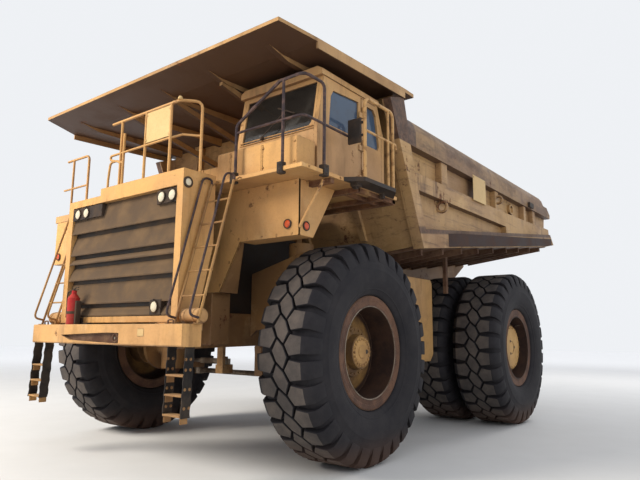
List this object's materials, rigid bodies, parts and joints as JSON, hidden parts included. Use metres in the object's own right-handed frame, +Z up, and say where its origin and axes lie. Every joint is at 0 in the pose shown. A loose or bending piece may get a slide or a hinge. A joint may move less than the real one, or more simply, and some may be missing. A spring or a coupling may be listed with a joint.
{
  "type": "mining dump truck",
  "caption": "Rigid-frame mining dump truck with a side cab, railed deck, twin rear wheels and a hinged dump bed with a canopy over the cab.",
  "frame": {"origin": "on the ground, on the centreline, at the middle of the overall length", "axes": "+X towards the truck's left side, where the cab is; -Y forward; +Z up"},
  "size_m": [6.272, 11.068, 5.6],
  "materials": {
    "paint": "faded tan paint, chalky and scratched",
    "rust": "dark red-brown primer and rust",
    "black": "dusty black paint",
    "steel": "oily bare steel",
    "rubber": "dusty black rubber",
    "glass": "dusty tinted glass",
    "lamp": "clear lamp glass",
    "amber": "amber lamp lens",
    "red": "red paint"
  },
  "bodies": {
    "chassis": {"frame": "paint", "bumper": "paint", "radiator_guard": "paint", "radiator_shutters": "black", "radiator": "black", "engine": "steel", "driveline": "steel", "rear_axle": "paint", "front_struts": "paint", "rear_struts": "steel", "deck_plates": "paint", "cab_deck": "paint", "fender_boxes": "paint", "step_platform": "black", "side_tanks": "paint", "air_cleaners": "paint", "cab_floor": "black", "cab_sides": "paint", "cab_ends": "paint", "cab_roof": "paint", "cab_glass": "glass", "cab_interior": "black", "ladders": "paint", "cab_rails": "black", "deck_rails": "paint", "headlamps": "lamp", "amber_lamps": "amber", "mirrors": "black", "extinguisher": "red"},
    "front_left_knuckle": {"front_left_knuckle": "paint"},
    "front_right_knuckle": {"front_right_knuckle": "paint"},
    "tie_rod": {"tie_rod": "steel"},
    "steer_left_barrel": {"steer_left_barrel": "steel"},
    "steer_left_rod": {"steer_left_rod": "steel"},
    "steer_right_barrel": {"steer_right_barrel": "steel"},
    "steer_right_rod": {"steer_right_rod": "steel"},
    "front_left_wheel": {"front_left_rim": "rust", "front_left_tyre": "rubber"},
    "front_right_wheel": {"front_right_rim": "rust", "front_right_tyre": "rubber"},
    "rear_left_wheels": {"rear_left_rims": "rust", "rear_left_tyres": "rubber"},
    "rear_right_wheels": {"rear_right_rims": "rust", "rear_right_tyres": "rubber"},
    "door": {"cab_door": "paint", "door_glass": "glass"},
    "bed": {"bed_floor": "rust", "bed_beams": "paint", "bed_sides": "paint", "bed_front_wall": "paint", "bed_canopy": "paint", "rock_ejectors": "rust"},
    "hoist_left_barrel": {"hoist_left_barrel": "steel"},
    "hoist_left_sleeve": {"hoist_left_sleeve": "steel"},
    "hoist_left_ram": {"hoist_left_ram": "steel"},
    "hoist_right_barrel": {"hoist_right_barrel": "steel"},
    "hoist_right_sleeve": {"hoist_right_sleeve": "steel"},
    "hoist_right_ram": {"hoist_right_ram": "steel"}
  },
  "joints": [
    {"name": "steer_left", "type": "hinge", "parent": "chassis", "child": "front_left_knuckle", "pos_m": [1.5, -3.06, 1.4], "axis": [0, 0, 1], "range_deg": [-36, 36]},
    {"name": "steer_right", "type": "hinge", "parent": "chassis", "child": "front_right_knuckle", "pos_m": [-1.5, -3.06, 1.4], "axis": [0, 0, 1], "range_deg": [-36, 36]},
    {"name": "tie_rod_pin", "type": "hinge", "parent": "front_left_knuckle", "child": "tie_rod", "pos_m": [1.5, -2.44, 1.06], "axis": [0, 0, 1], "range_deg": [-37, 37]},
    {"name": "steer_left_barrel_pin", "type": "hinge", "parent": "chassis", "child": "steer_left_barrel", "pos_m": [0.47, -2.73, 1.26], "axis": [0, 0, 1], "range_deg": [-1, 1]},
    {"name": "steer_left_rod_slide", "type": "slide", "parent": "steer_left_barrel", "child": "steer_left_rod", "axis": [1, 0, 0], "range_m": [-0.21, 0.21]},
    {"name": "steer_right_barrel_pin", "type": "hinge", "parent": "chassis", "child": "steer_right_barrel", "pos_m": [-0.47, -2.73, 1.26], "axis": [0, 0, 1], "range_deg": [-1, 1]},
    {"name": "steer_right_rod_slide", "type": "slide", "parent": "steer_right_barrel", "child": "steer_right_rod", "axis": [-1, 0, 0], "range_m": [-0.21, 0.21]},
    {"name": "front_left_spin", "type": "hinge", "parent": "front_left_knuckle", "child": "front_left_wheel", "pos_m": [2.425, -3.06, 1.51], "axis": [1, 0, 0], "continuous": true},
    {"name": "front_right_spin", "type": "hinge", "parent": "front_right_knuckle", "child": "front_right_wheel", "pos_m": [-2.425, -3.06, 1.51], "axis": [1, 0, 0], "continuous": true},
    {"name": "rear_left_spin", "type": "hinge", "parent": "chassis", "child": "rear_left_wheels", "pos_m": [2.1425, 2.12, 1.51], "axis": [1, 0, 0], "continuous": true},
    {"name": "rear_right_spin", "type": "hinge", "parent": "chassis", "child": "rear_right_wheels", "pos_m": [-2.1425, 2.12, 1.51], "axis": [1, 0, 0], "continuous": true},
    {"name": "door_hinge", "type": "hinge", "parent": "chassis", "child": "door", "pos_m": [2.723, -3.161, 4.5], "axis": [0, 0, -1], "range_deg": [0, 50]},
    {"name": "bed_hinge", "type": "hinge", "parent": "chassis", "child": "bed", "pos_m": [0, 3.56, 2.78], "axis": [-1, 0, 0], "range_deg": [0, 45]},
    {"name": "hoist_left_pin", "type": "hinge", "parent": "chassis", "child": "hoist_left_barrel", "pos_m": [0.9245, 0.4, 1.35], "axis": [-1, 0, 0], "range_deg": [0, 31]},
    {"name": "hoist_left_sleeve_slide", "type": "slide", "parent": "hoist_left_barrel", "child": "hoist_left_sleeve", "axis": [0, -0.3867, 0.9222], "range_m": [0, 1.29]},
    {"name": "hoist_left_ram_slide", "type": "slide", "parent": "hoist_left_sleeve", "child": "hoist_left_ram", "axis": [0, -0.3867, 0.9222], "range_m": [0, 1.29]},
    {"name": "hoist_right_pin", "type": "hinge", "parent": "chassis", "child": "hoist_right_barrel", "pos_m": [-0.9245, 0.4, 1.35], "axis": [-1, 0, 0], "range_deg": [0, 31]},
    {"name": "hoist_right_sleeve_slide", "type": "slide", "parent": "hoist_right_barrel", "child": "hoist_right_sleeve", "axis": [0, -0.3867, 0.9222], "range_m": [0, 1.29]},
    {"name": "hoist_right_ram_slide", "type": "slide", "parent": "hoist_right_sleeve", "child": "hoist_right_ram", "axis": [0, -0.3867, 0.9222], "range_m": [0, 1.29]}
  ],
  "couplings": [
    {"joint": "steer_right", "follows": "steer_left", "ratio": 1},
    {"joint": "tie_rod_pin", "follows": "steer_left", "ratio": -1},
    {"joint": "steer_left_barrel_pin", "follows": "steer_left", "ratio": -0.0119},
    {"joint": "steer_left_rod_slide", "follows": "steer_left", "m_per_rad": -0.3165},
    {"joint": "steer_right_barrel_pin", "follows": "steer_left", "ratio": -0.0119},
    {"joint": "steer_right_rod_slide", "follows": "steer_left", "m_per_rad": 0.3165},
    {"joint": "hoist_left_pin", "follows": "bed_hinge", "ratio": 0.67124},
    {"joint": "hoist_left_sleeve_slide", "follows": "bed_hinge", "m_per_rad": 1.6323},
    {"joint": "hoist_left_ram_slide", "follows": "bed_hinge", "m_per_rad": 1.6323},
    {"joint": "hoist_right_pin", "follows": "bed_hinge", "ratio": 0.67124},
    {"joint": "hoist_right_sleeve_slide", "follows": "bed_hinge", "m_per_rad": 1.6323},
    {"joint": "hoist_right_ram_slide", "follows": "bed_hinge", "m_per_rad": 1.6323}
  ]
}
